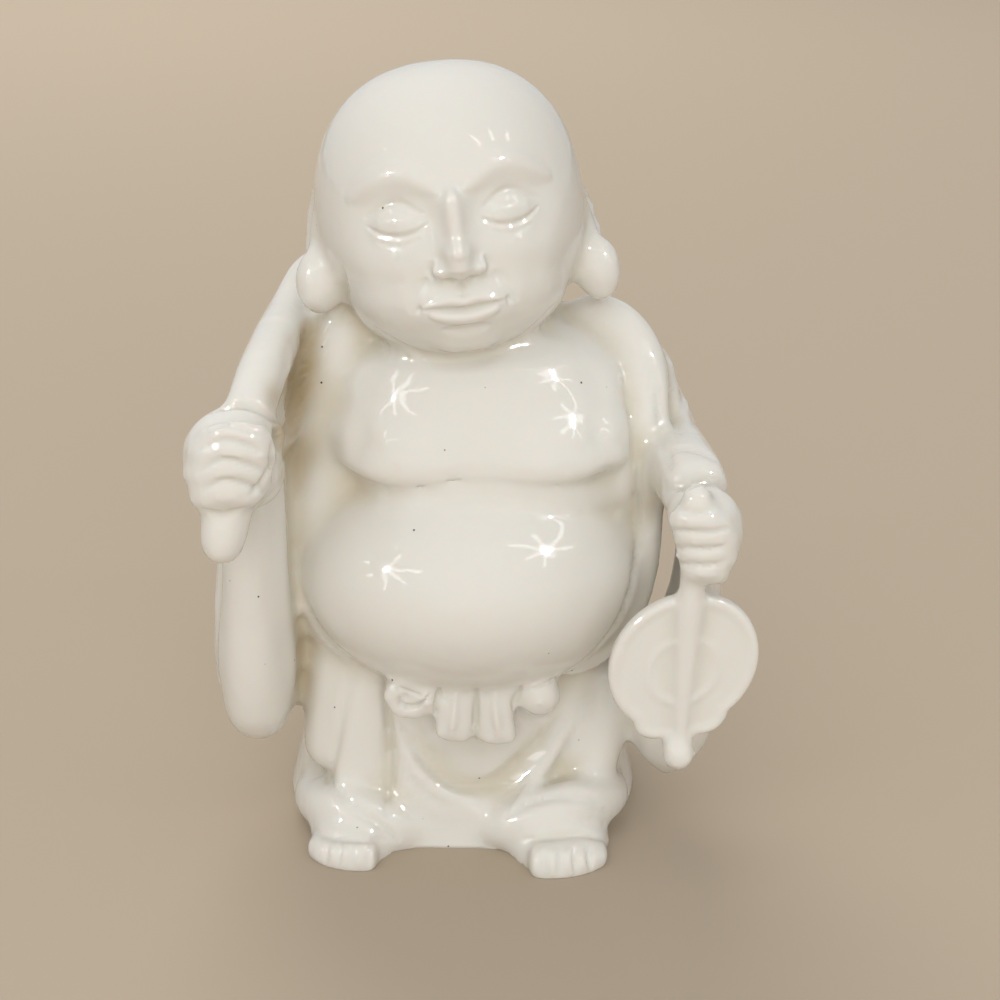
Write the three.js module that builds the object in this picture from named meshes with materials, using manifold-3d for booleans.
// A standing, pot-bellied bald man in an open robe, slip cast in one piece in white porcelain and glazed. The
// raised fist holds the twisted neck of a sack that hangs over the shoulder onto the back, and the other hand
// lets a round fan hang down. Millimetres, +Z up, the front towards -Y, the origin in the middle of the flat
// underside.

import * as THREE from "three";
import { SimplifyModifier } from "three/addons/modifiers/SimplifyModifier.js";
import { mergeVertices } from "three/addons/utils/BufferGeometryUtils.js";
import Module from "manifold-3d";

const wasm = await Module();
wasm.setup();

// Driving sizes
const HEIGHT = 152; // floor to crown
const SACK_NECK_DIAMETER = 8.4; // the twisted cloth in the raised fist
const FAN_DIAMETER = 27.4;
const FAN_LOBE_WIDTH = 17.6; // the bar with round ends that its lower edge ends in
const FAN_LOBE_HEIGHT = 9.2;
const FAN_LOBE_DROP = 10.1; // from the fan's middle down to the middle of that bar
const FAN_THICKNESS = 3.2;
const FAN_RIM_WIDTH = 1.8;
const FAN_RECESS_DEPTH = 0.4;
const FAN_RING_DIAMETER = 12; // the raised ring in the middle of the fan
const FAN_RING_WIDTH = 1.4;
const FAN_ROD_DIAMETER = 4.6;
const FAN_KNOB_DIAMETER = 6.6;

// The figure is a free form: its places and sizes below are in shares of its height, so that one share is a
// millimetre on a figure 152 mm tall.
const SHARE = HEIGHT / 152;
const FIGURE_FACES = 8160; // without the fan, the most where the form is the most curved
const SEAM_GAP = 0.02; // between two parts of the skin that would touch
const SAME_PLACE = 0.001; // corners nearer than this touch
const GLAZE_WHITE = 0xe9e5dc;

const SIDEWAYS = new THREE.Vector3(1, 0, 0);
const UP = new THREE.Vector3(0, 0, 1);
const BOTH = [-1, 1]; // his right and his left

// Where a fold is looked at from, to lay its path on the surface
const FRONT = new THREE.Vector3(0, -1, 0);
const BACK = new THREE.Vector3(0, 1, 0);
const HIS_RIGHT = new THREE.Vector3(-1, 0, 0);
const HIS_LEFT = new THREE.Vector3(1, 0, 0);

const degrees = THREE.MathUtils.degToRad;
const spot = ([x, y, z]) => new THREE.Vector3(x, y, z).multiplyScalar(SHARE);

// A smooth run through a list of numbers at even steps, read at t from 0 to 1
function run(numbers) {
  const points = numbers.map((n) => new THREE.Vector3(n, 0, 0));
  const curve = new THREE.CatmullRomCurve3(points, false, "catmullrom");
  return (t) => curve.getPoint(t).x;
}

// How wide a limb is at t, for round ends that each take up the share `cap` of its length
function roundEnd(t, cap) {
  const fromEnd = Math.min(t, 1 - t);
  return fromEnd >= cap ? 1 : Math.sqrt(1 - (1 - fromEnd / cap) ** 2);
}

// How far out a rounded rectangle reaches at an angle, next to the ellipse inside it
const corner = (angle, square) =>
  (Math.abs(Math.cos(angle)) ** square + Math.abs(Math.sin(angle)) ** square) ** (-1 / square);

// Moves every vertex of a geometry, with its seams joined first so that none can open
function reshape(geometry, move) {
  geometry.deleteAttribute("uv");
  geometry.deleteAttribute("normal");
  const closed = mergeVertices(geometry, 1e-4);
  const places = closed.attributes.position;
  const vertex = new THREE.Vector3();
  for (let i = 0; i < places.count; i++) {
    const moved = move(vertex.fromBufferAttribute(places, i));
    places.setXYZ(i, moved.x, moved.y, moved.z);
  }
  return closed;
}

// A rounded mass with its poles at top and bottom
function egg({ at, radii, turn = [0, 0, 0], sides = 24, rings = 16 }) {
  const sphere = new THREE.SphereGeometry(1, sides, rings).rotateX(Math.PI / 2);
  const tilt = new THREE.Euler(...turn.map(degrees));
  return reshape(sphere, (v) => v.multiply(spot(radii)).applyEuler(tilt).add(spot(at)));
}

// A round bar along a smooth path, with its half width along `side` and its half depth across it
function limb({ path, wide, deep = wide, side = SIDEWAYS, cap = 0.2, square = 2, sides = 14, rings = 16 }) {
  const middle = new THREE.CatmullRomCurve3(path.map(spot), false, "centripetal");
  const halfWidth = run(wide);
  const halfDepth = run(deep);
  return reshape(new THREE.SphereGeometry(1, sides, rings), (v) => {
    const t = THREE.MathUtils.clamp((1 - v.y) / 2, 0, 1);
    const along = middle.getTangent(t);
    const across = side.clone().addScaledVector(along, -side.dot(along)).normalize();
    const through = along.clone().cross(across);
    const angle = Math.atan2(v.z, v.x);
    const size = SHARE * roundEnd(t, cap) * corner(angle, square);
    const place = middle.getPoint(t).addScaledVector(across, Math.cos(angle) * size * halfWidth(t));
    return place.addScaledVector(through, Math.sin(angle) * size * halfDepth(t));
  });
}

// A fold: a ridge, or a groove where its height is negative, along a path seen from one side
function fold(from, path, width, height) {
  const points = new THREE.CatmullRomCurve3(path.map(spot)).getPoints(5 * path.length);
  const flat = points.map((p) => p.projectOnPlane(from));
  return { from, points: flat, width: width * SHARE, height: height * SHARE };
}

// Raises or sinks a form's surface along its folds, each running out to a point at both ends
function carve(geometry, folds) {
  geometry.computeVertexNormals();
  const places = geometry.attributes.position;
  const [vertex, normal, nearest] = [new THREE.Vector3(), new THREE.Vector3(), new THREE.Vector3()];
  const piece = new THREE.Line3();
  for (let i = 0; i < places.count; i++) {
    vertex.fromBufferAttribute(places, i);
    normal.fromBufferAttribute(geometry.attributes.normal, i);
    let lift = 0;
    for (const { from, points, width, height } of folds) {
      const facing = THREE.MathUtils.smoothstep(normal.dot(from), 0.05, 0.5);
      if (!facing) continue;
      const flat = vertex.clone().projectOnPlane(from);
      let best = Infinity;
      let where = 0;
      for (let k = 1; k < points.length; k++) {
        const t = piece.set(points[k - 1], points[k]).closestPointToPointParameter(flat, true);
        const gap = piece.at(t, nearest).distanceTo(flat);
        if (gap >= best) continue;
        best = gap;
        where = (k - 1 + t) / (points.length - 1);
      }
      const taper = Math.max(1e-3, Math.sqrt(Math.max(0, Math.sin(Math.PI * where))));
      lift += height * facing * taper * Math.exp(-((best / (width * taper)) ** 2));
    }
    vertex.addScaledVector(normal, lift);
    places.setXYZ(i, vertex.x, vertex.y, vertex.z);
  }
  return geometry;
}

function solid(geometry) {
  const closed = reshape(geometry, (v) => v);
  const shape = new wasm.Mesh({
    numProp: 3,
    vertProperties: new Float32Array(closed.attributes.position.array),
    triVerts: new Uint32Array(closed.index.array),
  });
  return new wasm.Manifold(shape);
}

function surface(body) {
  const mesh = body.getMesh();
  return new THREE.BufferGeometry()
    .setAttribute("position", new THREE.BufferAttribute(mesh.vertProperties, 3))
    .setIndex(new THREE.BufferAttribute(mesh.triVerts, 1));
}

const join = (geometries) => geometries.map(solid).reduce((whole, next) => whole.add(next));

// Where two parts of the skin touch, draws the corners of each a little way back among their own neighbours
function parted(geometry) {
  const places = geometry.attributes.position;
  const faces = geometry.index.array;
  const corner = (_, i) => new THREE.Vector3().fromBufferAttribute(places, i);
  const corners = Array.from({ length: places.count }, corner);
  const around = corners.map(() => new THREE.Vector3());
  const seen = corners.map(() => 0);
  faces.forEach((at, i) => {
    const first = i - (i % 3);
    for (const other of [faces[first + ((i + 1) % 3)], faces[first + ((i + 2) % 3)]]) {
      around[at].add(corners[other]);
      seen[at] += 1;
    }
  });
  const shared = new Map();
  corners.forEach((place, i) => {
    const key = place.toArray().map((v) => Math.round(v / SAME_PLACE)).join();
    shared.set(key, [...(shared.get(key) ?? []), i]);
  });
  for (const group of shared.values()) {
    if (group.length === 1) continue;
    for (const i of group) {
      const back = around[i].divideScalar(seen[i]).sub(corners[i]).projectOnPlane(UP).setLength(SEAM_GAP);
      places.setXYZ(i, corners[i].x + back.x, corners[i].y + back.y, corners[i].z);
    }
  }
  return geometry;
}

// The robe's outline from below the floor up, as a rounded rectangle at even steps of height
const ROBE_FOOT = -6;
const ROBE_TOP = 106;
const ROBE_SQUARE = 2.35;
const robeOutline = {
  x: run([0, 0, -0.2, 0.4, 1.4, 2.4, 3.4, 4, 2]),
  y: run([-0.8, 0, 1, 1, 1, 2, 3, 4, 3]),
  wide: run([38, 34.6, 31.6, 32.6, 34, 34.8, 33.4, 30, 15]),
  deep: run([31, 29.6, 28.6, 28.4, 28, 26.4, 23, 19, 10]),
};

// A place on the robe at a height, by the angle from his left round to his front at -90
function onRobe(angle, z) {
  const t = (z - ROBE_FOOT) / (ROBE_TOP - ROBE_FOOT);
  const reach = corner(angle, ROBE_SQUARE);
  const wide = robeOutline.wide(t) * reach;
  const deep = robeOutline.deep(t) * reach;
  return [robeOutline.x(t) + wide * Math.cos(angle), robeOutline.y(t) + deep * Math.sin(angle), z];
}

// Robe and skirt: one bell-shaped mass with the cloth's folds
function robe() {
  const tube = new THREE.CylinderGeometry(1, 1, 1, 136, 76).rotateX(Math.PI / 2);
  const cloth = reshape(tube, (v) => {
    const z = THREE.MathUtils.lerp(ROBE_FOOT, ROBE_TOP, v.z + 0.5);
    return spot([0, 0, z]).lerp(spot(onRobe(Math.atan2(v.y, v.x), z)), Math.hypot(v.x, v.y));
  });
  const roll = { sides: 20, rings: 30, side: UP };
  return [
    carve(cloth, [
      // The apron sags below the bow in a wide curve, with a softer fold under it
      fold(FRONT, [[4, 0, 33], [5, 0, 26], [6, 0, 20]], 7.5, 2.6),
      fold(
        FRONT,
        [[-10.4, 0, 32], [-8, 0, 23], [-2, 0, 15.4], [6, 0, 12.8], [13, 0, 17], [18.6, 0, 28]],
        2.9,
        -2,
      ),
      fold(FRONT, [[-11, 0, 22], [-8, 0, 13.6], [-1, 0, 9.6], [7, 0, 8.6]], 2.8, 1.2),
      // The cloth is drawn from the hip down to the middle of the hem
      fold(FRONT, [[28, 0, 40], [23.4, 0, 30], [17, 0, 18.6], [9.6, 0, 8]], 2.5, 2.2),
      // Long folds hang at the sides and down the back
      fold(HIS_RIGHT, [[0, -8, 60], [0, -10, 28], [0, -13, 12]], 3, -1.8),
      fold(HIS_RIGHT, [[0, 6, 60], [0, 8, 26], [0, 10, -4]], 3.4, -1.9),
      fold(HIS_LEFT, [[0, -8, 56], [0, -10, 28], [0, -13, 12]], 3, -1.8),
      fold(HIS_LEFT, [[0, 6, 60], [0, 8, 26], [0, 10, -4]], 3.4, -1.9),
      ...[-21, -11, 0, 10, 21].map((x) =>
        fold(BACK, [[x * 0.9, 0, 56], [x, 0, 26], [x * 1.2, 0, -6]], 2.8, -2),
      ),
    ]),
    // The front edge of the robe hangs as a flat flap beside his right leg
    limb({
      path: [[-18.6, -21, 46], [-19.4, -24, 30], [-20, -24.6, 16], [-20.4, -25.2, 6]],
      wide: [4.4, 5, 5.4, 5.6],
      deep: [2.4, 2.6, 2.8, 3],
      cap: 0.1,
      square: 3,
      sides: 24,
      rings: 20,
    }),
    // The skirt is full at both sides, over his thighs
    limb({
      path: [[-24, -14, 50], [-25, -17, 38], [-25.8, -18, 26], [-27.4, -18, 12]],
      wide: [5.4, 5.6, 5.6, 5],
      deep: [6, 6.4, 6.4, 6],
      cap: 0.14,
    }),
    limb({
      path: [[29.6, -13, 34], [28.4, -16.6, 25], [26.6, -19, 16], [24.6, -21, 8]],
      wide: [4, 5.6, 6, 5],
      deep: [5, 6, 6.4, 6],
      cap: 0.14,
    }),
    // The hem rolls up over each foot
    limb({
      ...roll,
      path: [[-32.4, -9, 3], [-29.6, -22, 5.6], [-22, -28.6, 7], [-14, -29.6, 4.4], [-6, -27.4, 0]],
      wide: [4, 5, 5.6, 5, 3.4],
      deep: [3, 3.8, 4.2, 3.8, 2.6],
    }),
    limb({
      ...roll,
      path: [[32.4, -10, 3.4], [29.4, -23, 7], [21.6, -29.8, 9], [12.6, -31.2, 6.4], [2, -28.4, 1.4]],
      wide: [4, 5, 5.6, 5, 3.4],
      deep: [3, 4, 4.6, 4.2, 2.6],
    }),
  ];
}

// Bare chest and belly, which push out of the open robe
function torso() {
  const across = { side: UP, cap: 0.32, sides: 48, rings: 40 };
  const belly = egg({ at: [2.4, -9.4, 55.2], radii: [36.6, 34, 25.4], sides: 64, rings: 48 });
  return [
    carve(belly, [
      fold(FRONT, [[0.4, 0, 37.4], [4.2, 0, 36.6], [8, 0, 37.4]], 1.6, -1.2),
      fold(FRONT, [[0, 0, 41], [4.2, 0, 42], [8.4, 0, 41]], 2.2, 0.5),
    ]),
    egg({ at: [4.2, -5.6, 88.4], radii: [31, 24, 17.2], sides: 48, rings: 36 }),
    limb({
      ...across,
      path: [
        [-27, -7.6, 84.2], [-11, -11, 83], [4.2, -11.6, 84.6], [19, -11, 83.4], [35.4, -7.6, 85.2],
      ],
      wide: [10.4, 12.2, 11, 12.2, 10.4],
      deep: [16, 19, 18.4, 19, 16],
    }),
    limb({
      ...across,
      path: [[-24, -7.6, 70], [-8, -9.4, 74], [5, -9.6, 75.6], [18, -9.4, 74], [33, -7.6, 70]],
      wide: [9, 9, 8.4, 9, 9],
      deep: [17, 20.4, 21, 20.4, 17],
    }),
    // Fullness beside the crease, against the robe
    egg({ at: [31.4, -11.4, 76], radii: [6.4, 9, 11] }),
    egg({ at: [-23, -12.4, 75], radii: [6.4, 9.4, 11] }),
    // The open robe lies close on his right side and runs smoothly into the belly
    limb({
      path: [
        [-12, -2, 105], [-19.4, -5, 103], [-23.4, -9, 96], [-25, -12, 86], [-26, -14.6, 75],
        [-26.6, -16.4, 64], [-25, -18.6, 54], [-20.6, -21.4, 46.4], [-14, -24, 41],
      ],
      wide: [5, 6.6, 6.8, 7, 7, 7, 6.6, 5, 3],
      deep: [5, 6.6, 6.6, 6.6, 6.8, 7, 6.4, 5, 3],
      cap: 0.1,
      sides: 24,
      rings: 36,
    }),
    egg({ at: [0, 0, 105], radii: [19, 15, 8] }),
  ];
}

// The rolled edges of the robe run from each shoulder round the belly
function lapels() {
  const edge = {
    wide: [3.4, 4, 3.8, 3.6, 3.4, 3.2, 3, 2.4, 1.6],
    deep: [3.4, 4, 4.4, 4.6, 4.6, 4.2, 3.4, 2.4, 1.6],
    cap: 0.08,
    sides: 16,
    rings: 36,
  };
  return [
    limb({
      ...edge,
      path: [
        [21, 0, 104], [30.4, -3.6, 101], [35.4, -8.4, 95], [36.8, -13, 85.6], [36.9, -16, 76],
        [37, -18, 66], [36.4, -19.4, 56], [33.6, -21.6, 47], [28, -23.4, 40], [21, -25.4, 36],
      ],
      wide: [4, 5, 4.8, 3.7, 3, 2.7, 2.5, 2.3, 2, 1.5],
      deep: [4, 5, 5, 4.8, 4.6, 4.2, 3.8, 3.2, 2.4, 1.6],
    }),
    limb({
      ...edge,
      path: [
        [-13, 0, 105], [-21.4, -7, 99], [-26, -12, 89], [-27.4, -15, 77], [-28.6, -17.6, 66],
        [-29.8, -19, 56], [-29, -20.4, 48.6], [-25, -22, 41.6], [-19, -24, 37],
      ],
    }),
  ];
}

// The head, leaned and turned as a whole: wide above the eyes and narrower at the jaw
const HEAD = { at: [-1.4, -6, 124.4], turn: [-9, -6, 4] };
const SKULL = { wide: 25.3, deep: 26, tall: 27.6, crownSquare: 2.3 };

// A place on the face, `proud` of the skull
function onFace(x, z, proud = 0) {
  const depth = Math.sqrt(Math.max(0, 1 - (x / SKULL.wide) ** 2 - (z / SKULL.tall) ** 2));
  return [x, -SKULL.deep * depth - proud, z];
}

function head() {
  const skull = reshape(new THREE.SphereGeometry(1, 96, 72).rotateX(Math.PI / 2), (v) => {
    const ring = Math.sqrt(1 - v.z * v.z);
    const crown = (1 - Math.abs(v.z) ** SKULL.crownSquare) ** (1 / SKULL.crownSquare);
    const fuller = v.z > 0 && ring > 0.02 ? crown / ring : 1;
    return spot([v.x * SKULL.wide * fuller, v.y * SKULL.deep * fuller, v.z * SKULL.tall]);
  });
  carve(skull, [
    ...BOTH.flatMap((hand) => [
      // Eye socket, brow and the full cheek
      fold(FRONT, [[hand * 4, 0, 0.6], [hand * 9.6, 0, 2.8], [hand * 16.6, 0, 0.6]], 4, -2),
      fold(FRONT, [[hand * 3, 0, 6], [hand * 9, 0, 9], [hand * 18, 0, 5]], 2.4, 0.8),
      fold(FRONT, [[hand * 9, 0, -10.5], [hand * 12.5, 0, -10], [hand * 16, 0, -10.5]], 6, 1.3),
      // From the wing of the nose to the corner of the mouth
      fold(FRONT, [[hand * 5.6, 0, -8], [hand * 8.4, 0, -11.6], [hand * 9.8, 0, -15.4]], 1.5, -0.6),
    ]),
    fold(FRONT, [[0, 0, -11.4], [0, 0, -14.4]], 1, -0.4),
    fold(FRONT, [[-5, 0, -19.4], [0, 0, -19.2], [5, 0, -19.4]], 1.6, -0.9),
    fold(FRONT, [[-5, 0, -22.6], [0, 0, -22.8], [5, 0, -22.6]], 3, 1.3),
    fold(FRONT, [[-17, 0, -18], [-8, 0, -25], [0, 0, -26.4], [8, 0, -25], [17, 0, -18]], 1.4, -0.6),
  ]);
  const strip = (points, proud, wide, deep) =>
    limb({
      path: points.map(([x, z]) => onFace(x, z, proud)),
      wide,
      deep,
      side: UP,
      sides: 10,
      rings: 14,
      cap: 0.3,
    });
  const eyes = BOTH.flatMap((hand) => [
    // The closed upper lid over the eye's ball, and the line of the lashes
    egg({
      at: onFace(hand * 10, 0.6, -2.6),
      radii: [5.4, 2.6, 3.3],
      turn: [0, hand * 4, -hand * 20],
      sides: 20,
      rings: 14,
    }),
    strip(
      [[4.8, -0.2], [10, -1.9], [15.4, 0]].map(([x, z]) => [hand * x, z]),
      -0.6,
      [0.4, 0.7, 0.4],
      [0.8, 1.1, 0.8],
    ),
  ]);
  const nose = [
    limb({
      path: [onFace(0, 6, -1.2), onFace(0, -1.5, 0.6), onFace(0, -7.2, 3), onFace(0, -10.4, 0.2)],
      wide: [1.6, 1.9, 2.8, 2.2],
      deep: [1.4, 2, 2.6, 1.6],
      cap: 0.3,
    }),
    ...BOTH.map((hand) =>
      egg({ at: onFace(hand * 3.5, -9, 0.3), radii: [1.9, 2.2, 1.8], sides: 14, rings: 10 }),
    ),
  ];
  const mouth = [
    strip(
      [[-7.8, -15.5], [-3.2, -14.9], [0, -15.4], [3.2, -14.9], [7.8, -15.5]],
      -0.1,
      [0.6, 1.2, 1.1, 1.2, 0.6],
      [0.9, 1.3, 0.9],
    ),
    strip([[-6.4, -16.6], [0, -18.1], [6.4, -16.6]], -0.2, [0.7, 1.5, 0.7], [0.9, 1.4, 0.9]),
  ];
  const tilt = new THREE.Euler(...HEAD.turn.map(degrees), "ZYX");
  const jaw = egg({ at: [0, -6, -13.4], radii: [20.6, 18.8, 12.6], sides: 48, rings: 36 });
  const parts = [skull, jaw, ...eyes, ...nose, ...mouth, ...ear(-1, [0.4, -2.4, 4]), ...ear(1, [0.8, 0, 0])];
  return parts.map((part) => reshape(part, (v) => v.applyEuler(tilt).add(spot(HEAD.at))));
}

// A long ear: a flat shell with a rim round its hollow, and a heavy lobe
function ear(hand, [out, back, up]) {
  const place = ([x, y, z]) => [hand * (x + out), y + back, z + up];
  return [
    egg({ at: place([23.6, 3.4, -5.6]), radii: [2.6, 5, 8.6], turn: [6, -hand * 10, hand * 14] }),
    limb({
      path: [[23.4, 0, -3], [22.8, 1.6, 1.6], [23.8, 6, 1.8], [25.8, 7.8, -4.6], [26.6, 5.6, -11]].map(place),
      wide: [1.3, 1.6, 1.7, 1.7, 2],
      cap: 0.1,
    }),
    egg({ at: place([25.6, -1.2, -14]), radii: [4.6, 4.4, 6.4], turn: [0, -hand * 6, 0] }),
  ];
}

// A finger from its knuckle to its tip, bowed `out` to the front and arched up in the middle
function finger({ root, tip, y, z, out, thick }) {
  const step = (tip - root) / 4;
  return limb({
    path: [
      [root, y, z - 2],
      [root + step / 2, y - out * 0.7, z - 1.4],
      [root + step * 2, y - out, z],
      [root + step * 3.4, y - out * 0.8, z - 0.7],
      [tip, y - out * 0.3, z - 1.4],
    ],
    wide: [1, 1.05, 1.05, 1, 0.9].map((w) => w * thick),
    side: UP,
    cap: 0.16,
    rings: 18,
  });
}

// The fist round the sack's neck: the hand's back, its knuckle and heel, and the fingers wrapped round
function sackFist() {
  const fingers = [
    [-42.6, -32, 97, 2], [-45, -31, 93.8, 2.3], [-45.6, -32, 90.2, 2.4], [-44.6, -34, 86.2, 2.5],
  ];
  return [
    egg({ at: [-38.9, -46.8, 89.6], radii: [8.8, 7.8, 9.2], turn: [0, -6, 0], sides: 32, rings: 24 }),
    egg({ at: [-32.6, -44.6, 92.6], radii: [3, 4, 3.6] }),
    egg({ at: [-34.6, -43.4, 85], radii: [4.4, 5.4, 6], turn: [0, 24, 0] }),
    ...fingers.map(([root, tip, z, thick]) => finger({ root, tip, y: -48.4, z, out: 5.2, thick })),
  ];
}

// The fist round the fan's rod, whose end stands out above it
function fanFist() {
  const fingers = [[48, 38.4, 80.4, 2.2], [49, 39.4, 77.2, 2.2], [49, 40, 74, 2.1], [47.6, 41.2, 70.6, 2]];
  return [
    egg({ at: [45.2, -45.4, 75.4], radii: [6.4, 6.8, 8.2], sides: 32, rings: 24 }),
    egg({ at: [42.4, -50, 83.4], radii: [2.9, 2.9, 2.9] }),
    ...fingers.map(([root, tip, z, thick]) => finger({ root, tip, y: -47, z, out: 4.6, thick })),
  ];
}

// His right arm, raised, with the wide sleeve that hangs from it
function sackArm() {
  const sleeve = limb({
    path: [[-38, -17, 93], [-38.8, -17, 74], [-39.4, -16.6, 55], [-39.8, -16, 37], [-40.6, -15, 18.8]],
    wide: [5.4, 6.2, 7, 7.8, 6.4],
    deep: [17, 19, 18.6, 17.4, 13],
    cap: 0.16,
    square: 2.6,
    sides: 56,
    rings: 44,
  });
  return [
    limb({
      path: [[-16, 3, 98], [-26, 1, 96], [-33, -12, 90.6], [-37, -27, 88.6], [-38.6, -39, 90]],
      wide: [9, 9, 8, 7.2, 6.4],
      cap: 0.12,
      sides: 28,
      rings: 24,
    }),
    // Where the sleeve lies against the robe
    limb({
      path: [[-29, -4, 101], [-31, -8, 80], [-32.4, -9, 52], [-32.6, -9, 24]],
      wide: [4.4, 5, 5, 3.6],
      deep: [10, 12, 12, 9],
      cap: 0.08,
      sides: 28,
      rings: 24,
    }),
    carve(sleeve, [
      fold(HIS_RIGHT, [[0, -27, 86], [0, -29, 58], [0, -24, 30]], 2.6, -1.4),
      fold(HIS_RIGHT, [[0, -14, 84], [0, -16, 56], [0, -14, 28]], 2.8, -1.5),
      fold(HIS_RIGHT, [[0, -3, 76], [0, -4, 54], [0, -5, 32]], 2.6, -1.3),
      fold(FRONT, [[-40, 0, 66], [-41, 0, 46], [-40.6, 0, 28]], 3, -0.8),
      fold(HIS_LEFT, [[0, -26, 66], [0, -26, 46], [0, -22, 30]], 3, -1.2),
    ]),
  ];
}

// His left arm, lowered and bent forward, with its sleeve hanging behind the fan
function fanArm() {
  const sleeve = limb({
    path: [
      [45.6, -13, 81], [47.6, -14, 64], [47.2, -15, 49], [44.6, -15.6, 34], [42.6, -16, 21], [42.4, -16, 8.4],
    ],
    wide: [4.2, 3.6, 4.2, 7, 8.4, 3],
    deep: [15, 17, 16, 14, 11, 3],
    cap: 0.12,
    square: 2.3,
    sides: 48,
    rings: 36,
  });
  const upperArm = limb({
    path: [[20, 5, 96.6], [30, 4, 92.4], [37.4, 0, 83], [41.4, -7, 76.5], [43, -20, 77]],
    wide: [8, 8.2, 7.8, 7, 6.6],
    cap: 0.12,
    sides: 28,
    rings: 24,
  });
  return [
    upperArm,
    // A fold of the sleeve, behind the robe's edge
    limb({
      path: [[34, 2, 97], [36.6, -3, 93], [38.2, -6, 86], [38, -9, 78]],
      wide: [2.6, 5.2, 5.2, 4],
      deep: [3, 4, 4, 3],
    }),
    limb({
      path: [[41, -4, 77], [42.4, -20, 78], [43.6, -31, 78.6], [43.8, -37, 78.4]],
      wide: [6.6, 6.6, 6.2, 6],
      square: 2.6,
      cap: 0.08,
      sides: 28,
      rings: 24,
    }),
    limb({ path: [[43.4, -33, 77], [42.8, -44, 76]], wide: [4.8, 5] }),
    carve(sleeve, [
      fold(HIS_LEFT, [[0, -24, 76], [0, -24, 50], [0, -19, 20]], 2.6, -1.3),
      fold(HIS_LEFT, [[0, -11, 76], [0, -12, 48], [0, -14, 18]], 2.8, -1.5),
    ]),
  ];
}

// The sack: its neck comes up out of the fist, over the shoulder beside the ear, and opens into the bag
function sack() {
  const neck = SACK_NECK_DIAMETER / 2 / SHARE;
  const bag = limb({
    path: [[-20, 16, 106], [-12, 24, 96], [-4, 27, 80], [-1, 27, 63], [0, 25.6, 49]],
    wide: [6, 15, 25, 25, 12],
    deep: [6, 12, 16.4, 16, 8],
    cap: 0.2,
    sides: 56,
    rings: 44,
  });
  const gather = ([x, z]) => fold(BACK, [[-17, 0, 106], [-12 + x * 0.3, 0, 96], [x, 0, z]], 2.4, -1.7);
  return [
    limb({
      path: [
        [-41.4, -52.4, 71.6], [-39.8, -49.8, 81], [-38.2, -47.2, 90.4], [-36, -43.4, 97],
        [-34.7, -33, 100.8], [-33.9, -16, 102], [-32.4, 0.6, 103.2], [-28.6, 9, 108], [-20, 17, 104],
      ],
      wide: [0.84, 1.08, 1.02, 1.08, 1.12, 1.12, 1.12, 1.12, 1.5].map((w) => w * neck),
      cap: 0.05,
      sides: 24,
      rings: 48,
    }),
    carve(bag, [
      ...[[-19, 74], [-8, 68], [5, 76], [13, 86]].map(gather),
      fold(BACK, [[-18, 0, 62], [-2, 0, 56], [14, 0, 62]], 3.4, -1),
    ]),
  ];
}

// The fan's outline, drawn in from its edge: a disc that a bar with round ends laps below, with two cusps
function fanOutline(inset) {
  const disc = FAN_DIAMETER / 2 - inset;
  const end = FAN_LOBE_HEIGHT / 2 - inset;
  const aside = (FAN_LOBE_WIDTH - FAN_LOBE_HEIGHT) / 2;
  const gap = Math.hypot(aside, FAN_LOBE_DROP);
  const lean = Math.atan2(aside, FAN_LOBE_DROP);
  const discCusp = lean + Math.acos((gap ** 2 + disc ** 2 - end ** 2) / (2 * gap * disc));
  const endCusp = Math.PI / 2 + lean - Math.acos((gap ** 2 + end ** 2 - disc ** 2) / (2 * gap * end));
  return new THREE.Shape()
    .absarc(0, 0, disc, discCusp - Math.PI / 2, (3 * Math.PI) / 2 - discCusp)
    .absarc(-aside, -FAN_LOBE_DROP, end, Math.PI - endCusp, (3 * Math.PI) / 2)
    .absarc(aside, -FAN_LOBE_DROP, end, -Math.PI / 2, endCusp);
}

// The fan hangs face forward, sunk inside its rim round a raised ring, behind a rod with a knob below. Its
// middle is a share of the way down the rod and a little to one side of it. It was turned on the rod and
// drawn out along one diagonal while the clay was soft.
const FAN_HANG = { top: [42.9, -48.8, 85], foot: [41, -49.4, 32.8], middle: 0.66, off: [-0.3, 1.1, 0] };
const FAN_TURN = 5;
const FAN_DRAW = 0.07;
const ROD_TAPER = [1.2, 0.98, 0.6];
const KNOB_LENGTH = 1.15; // in its own diameters

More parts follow.
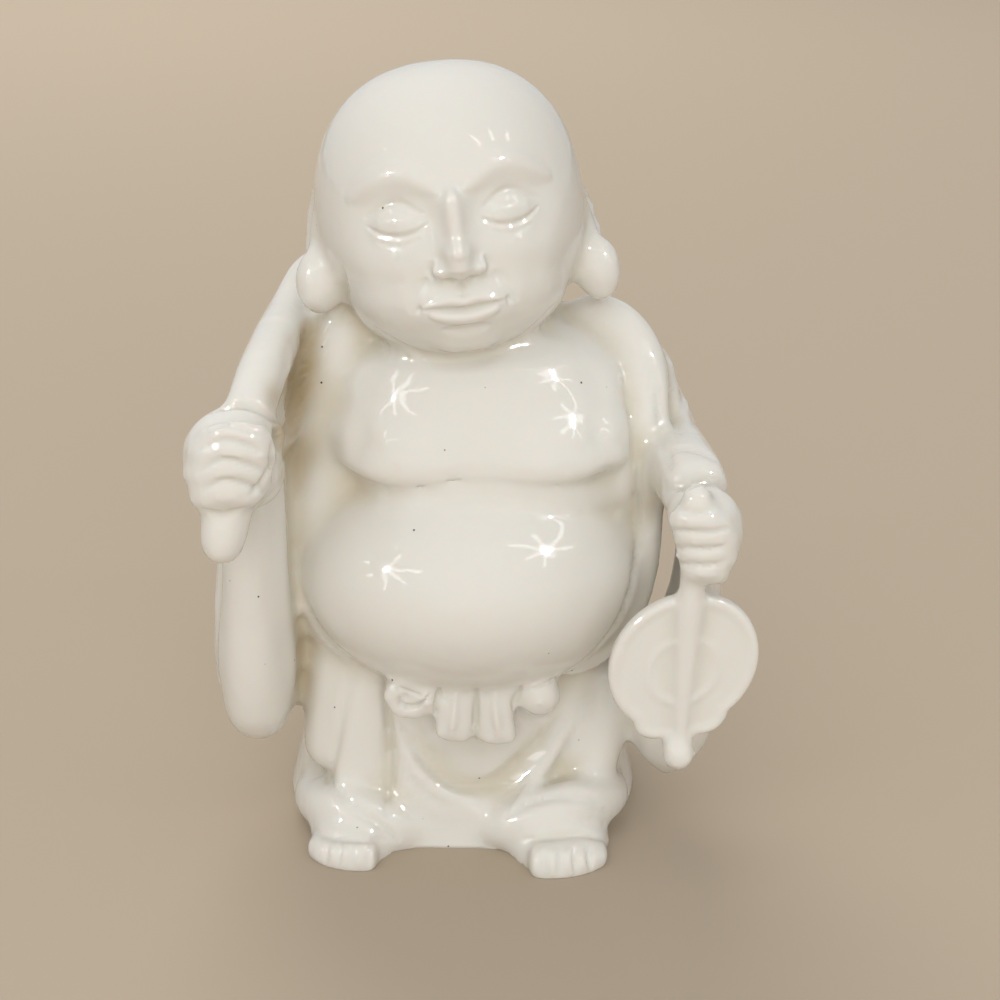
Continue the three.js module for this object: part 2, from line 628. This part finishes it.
function fan() {
  const top = spot(FAN_HANG.top);
  const foot = spot(FAN_HANG.foot);
  const centre = top.clone().lerp(foot, FAN_HANG.middle).add(spot(FAN_HANG.off));
  const drawn = new THREE.Matrix4().makeShear(FAN_DRAW, 0, FAN_DRAW, 0, 0, 0);
  const hang = new THREE.Quaternion().setFromUnitVectors(UP, top.clone().sub(foot).normalize());
  // A plate drawn in X and Y and stood up, with its front face `front` before the fan's middle
  const plate = (shape, front, depth) =>
    solid(
      new THREE.ExtrudeGeometry(shape, { depth, bevelEnabled: false, curveSegments: 12 })
        .translate(0, 0, front - depth)
        .applyMatrix4(drawn)
        .rotateZ(degrees(FAN_TURN))
        .rotateX(Math.PI / 2)
        .applyQuaternion(hang)
        .translate(...centre.toArray()),
    );
  const face = FAN_THICKNESS / 2;
  const ring = new THREE.Shape().absarc(0, 0, (FAN_RING_DIAMETER + FAN_RING_WIDTH) / 2, 0, 2 * Math.PI);
  ring.holes.push(new THREE.Path().absarc(0, 0, (FAN_RING_DIAMETER - FAN_RING_WIDTH) / 2, 0, 2 * Math.PI));
  const rod = limb({
    path: [top, top.clone().lerp(foot, 0.5), foot].map((p) => p.divideScalar(SHARE).toArray()),
    wide: ROD_TAPER.map((w) => (w * FAN_ROD_DIAMETER) / 2 / SHARE),
    cap: 0.05,
    sides: 10,
    rings: 10,
  });
  const knob = new THREE.SphereGeometry(FAN_KNOB_DIAMETER / 2, 12, 8).scale(1, 1, KNOB_LENGTH);
  return plate(fanOutline(0), face, FAN_THICKNESS)
    .subtract(plate(fanOutline(FAN_RIM_WIDTH), face + FAN_RECESS_DEPTH, 2 * FAN_RECESS_DEPTH))
    .add(plate(ring, face, 2 * FAN_RECESS_DEPTH))
    .add(solid(rod))
    .add(solid(knob.translate(...spot(FAN_HANG.foot).toArray())));
}

// Bare feet that show below the hem, with five toes each
function foot({ at, hand, turn, spread }) {
  const spin = new THREE.Euler(0, 0, degrees(turn));
  const toes = [0, 1, 2, 3, 4].map((i) => {
    const across = hand * (-6.6 + 3.4 * i + (i ? 0.8 : 0)) * spread;
    const reach = -10.6 + 0.4 * Math.max(0, i - 1) ** 2;
    const radii = [i ? 2.1 - 0.06 * i : 3, 4.4, 4.2 - 0.4 * i];
    return egg({ at: [across, reach, 1.6], radii, sides: 16, rings: 12 });
  });
  const instep = egg({ at: [0, -2, 1], radii: [9.6 * spread, 11.4, 7.8], sides: 32, rings: 24 });
  return [instep, ...toes].map((part) => reshape(part, (v) => v.applyEuler(spin).add(spot(at))));
}

// The sash is tied under the belly in a bow, with two loops and two short ends
function bow() {
  const end = { square: 3.4, cap: 0.06, sides: 20, rings: 12 };
  return [
    // One loop curls round on itself, and the other is a ball
    egg({ at: [-9, -30.4, 35.4], radii: [4.8, 3, 4.6] }),
    limb({
      path: [
        [-3.6, -31.4, 36.6], [-6.6, -33, 39], [-10.6, -33.4, 39], [-13, -33, 35.8], [-10.8, -33, 32.4],
        [-7, -33.2, 32.6], [-6, -34, 35], [-8.2, -34.4, 36.2],
      ],
      wide: [1.5, 1.7, 1.7, 1.7, 1.7, 1.6, 1.5, 1.3],
      cap: 0.08,
      rings: 30,
    }),
    egg({ at: [15.7, -31.4, 35], radii: [4.2, 3.8, 4.3] }),
    limb({ path: [[9.6, -31, 37], [12.4, -32, 37.6], [14.6, -33, 37]], wide: [1.6, 1.7, 1.4] }),
    limb({
      ...end,
      path: [[-0.1, -30, 41], [-0.6, -31.8, 34], [-1.5, -32.2, 25.6]],
      wide: [2.7, 3, 3.9],
      deep: [2.4, 2.5, 2.4],
    }),
    limb({
      ...end,
      path: [[6.5, -30, 41], [7.2, -31.8, 34], [8.1, -32.2, 24.8]],
      wide: [2.1, 2.8, 3.8],
      deep: [2.4, 2.5, 2.4],
    }),
  ];
}

const whole = join([
  ...robe(),
  ...torso(),
  ...lapels(),
  ...head(),
  ...sackArm(),
  ...fanArm(),
  ...sackFist(),
  ...fanFist(),
  ...sack(),
  ...foot({ at: [-20.8, -24.4, 0], hand: -1, turn: -8, spread: 0.96 }),
  ...foot({ at: [19.4, -27, 0], hand: 1, turn: 6, spread: 1.08 }),
  ...bow(),
]);

// Lays the figure's faces out anew, few where the form is flat, adds the fan, and cuts the underside flat
const fine = surface(whole);
const spare = fine.attributes.position.count - FIGURE_FACES / 2;
const coarse = await new SimplifyModifier().modify(fine, spare);
const geometry = parted(surface(solid(coarse).add(fan()).trimByPlane([0, 0, 1], 0)));
geometry.computeVertexNormals();

const porcelain = new THREE.Mesh(
  geometry,
  new THREE.MeshStandardMaterial({ color: GLAZE_WHITE, roughness: 0.12, metalness: 0 }),
);
porcelain.name = "budai_figure";

const figure = new THREE.Group();
figure.add(porcelain);

export default figure;
